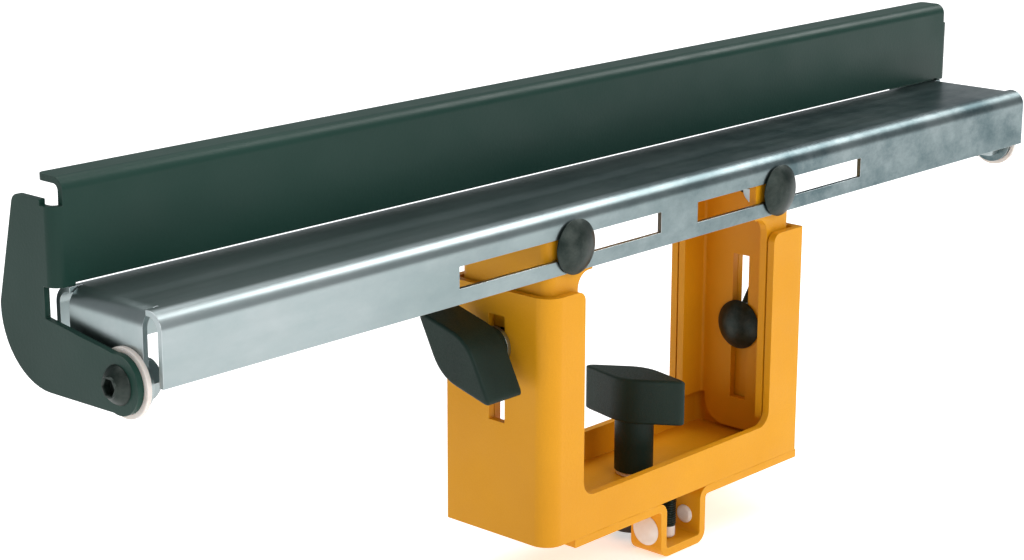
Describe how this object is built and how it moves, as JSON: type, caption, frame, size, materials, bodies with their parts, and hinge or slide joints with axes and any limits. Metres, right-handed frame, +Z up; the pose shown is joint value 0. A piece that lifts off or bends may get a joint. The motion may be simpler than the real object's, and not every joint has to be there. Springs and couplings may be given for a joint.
{
  "type": "mitre saw stand material support and stop",
  "caption": "Wide material support for a mitre saw stand: zinc-plated tray on a height-adjustable clamp bracket, with a flip-up length stop along its rear edge.",
  "frame": {"origin": "centre of the underside of the yellow box, where it stands on the stand's beam", "axes": "+X along the tray to the right of someone facing the front flange, +Y from the front flange to the rear edge, +Z up"},
  "size_m": [0.419, 0.0641, 0.1495],
  "materials": {
    "yellow_paint": "orange-yellow powder coat, slightly worn at the edges",
    "zinc": "bright zinc plating with rolling marks",
    "black_paint": "black paint, half matt",
    "black_oxide": "blackened steel",
    "knob_plastic": "black glass-filled nylon, fine texture",
    "nylon": "natural nylon",
    "foot_rubber": "black rubber",
    "brass": "turned brass"
  },
  "bodies": {
    "base": {"base_frame": "yellow_paint", "clamp_hook": "yellow_paint", "glide_buttons": "nylon", "guide_screw": "black_oxide", "guide_tip": "nylon", "clamp_bush": "zinc"},
    "clamp_foot": {"pressure_foot": "foot_rubber"},
    "clamp_screw": {"clamp_stud": "zinc", "clamp_knob": "knob_plastic", "clamp_ring": "nylon"},
    "carriage": {"carriage_bracket": "yellow_paint", "tray_bolts": "black_oxide", "tray_washers": "zinc", "tray_nuts": "zinc"},
    "left_lock": {"lock_bolt_left": "black_oxide"},
    "left_washer": {"lock_washer_left": "zinc"},
    "left_knob": {"lock_knob_left": "knob_plastic", "lock_insert_left": "brass"},
    "right_lock": {"lock_bolt_right": "black_oxide"},
    "right_washer": {"lock_washer_right": "zinc"},
    "right_knob": {"lock_knob_right": "knob_plastic", "lock_insert_right": "brass"},
    "tray": {"tray": "zinc", "pivot_screws": "black_oxide", "pivot_nuts": "zinc", "pivot_spacers": "nylon"},
    "stop": {"stop_plate": "black_paint"}
  },
  "joints": [
    {"name": "clamp_feed", "type": "slide", "parent": "base", "child": "clamp_foot", "axis": [0, 0, 1], "range_m": [0, 0.005]},
    {"name": "clamp_turn", "type": "hinge", "parent": "clamp_foot", "child": "clamp_screw", "pos_m": [0.0025, 0, 0], "axis": [0, 0, 1], "range_deg": [0, 1441]},
    {"name": "height_slide", "type": "slide", "parent": "base", "child": "carriage", "axis": [0, 0, 1], "range_m": [0, 0.04]},
    {"name": "left_lock_slide", "type": "slide", "parent": "base", "child": "left_lock", "axis": [0, 0, 1], "range_m": [0, 0.006]},
    {"name": "left_lock_back_off", "type": "slide", "parent": "left_lock", "child": "left_washer", "axis": [-1, 0, 0], "range_m": [0, 0.001]},
    {"name": "left_lock_turn", "type": "hinge", "parent": "left_washer", "child": "left_knob", "pos_m": [-0.07, 0, 0.0596], "axis": [-1, 0, 0], "range_deg": [0, 361]},
    {"name": "right_lock_slide", "type": "slide", "parent": "base", "child": "right_lock", "axis": [0, 0, 1], "range_m": [0, 0.0205]},
    {"name": "right_lock_back_off", "type": "slide", "parent": "right_lock", "child": "right_washer", "axis": [1, 0, 0], "range_m": [0, 0.001]},
    {"name": "right_lock_turn", "type": "hinge", "parent": "right_washer", "child": "right_knob", "pos_m": [0.07, 0, 0.0406], "axis": [1, 0, 0], "range_deg": [0, 361]},
    {"name": "tray_shift", "type": "slide", "parent": "carriage", "child": "tray", "axis": [1, 0, 0], "range_m": [-0.036, 0.038]},
    {"name": "stop_flip", "type": "hinge", "parent": "tray", "child": "stop", "pos_m": [-0.001, -0.007, 0.0828], "axis": [1, 0, 0], "range_deg": [0, 180]}
  ],
  "couplings": [
    {"joint": "clamp_turn", "follows": "clamp_feed", "rad_per_m": 5026.5},
    {"joint": "left_lock_slide", "follows": "height_slide", "ratio": 0.14},
    {"joint": "right_lock_slide", "follows": "height_slide", "ratio": 0.5},
    {"joint": "left_lock_turn", "follows": "left_lock_back_off", "rad_per_m": 6283.2},
    {"joint": "right_lock_turn", "follows": "right_lock_back_off", "rad_per_m": 6283.2}
  ]
}
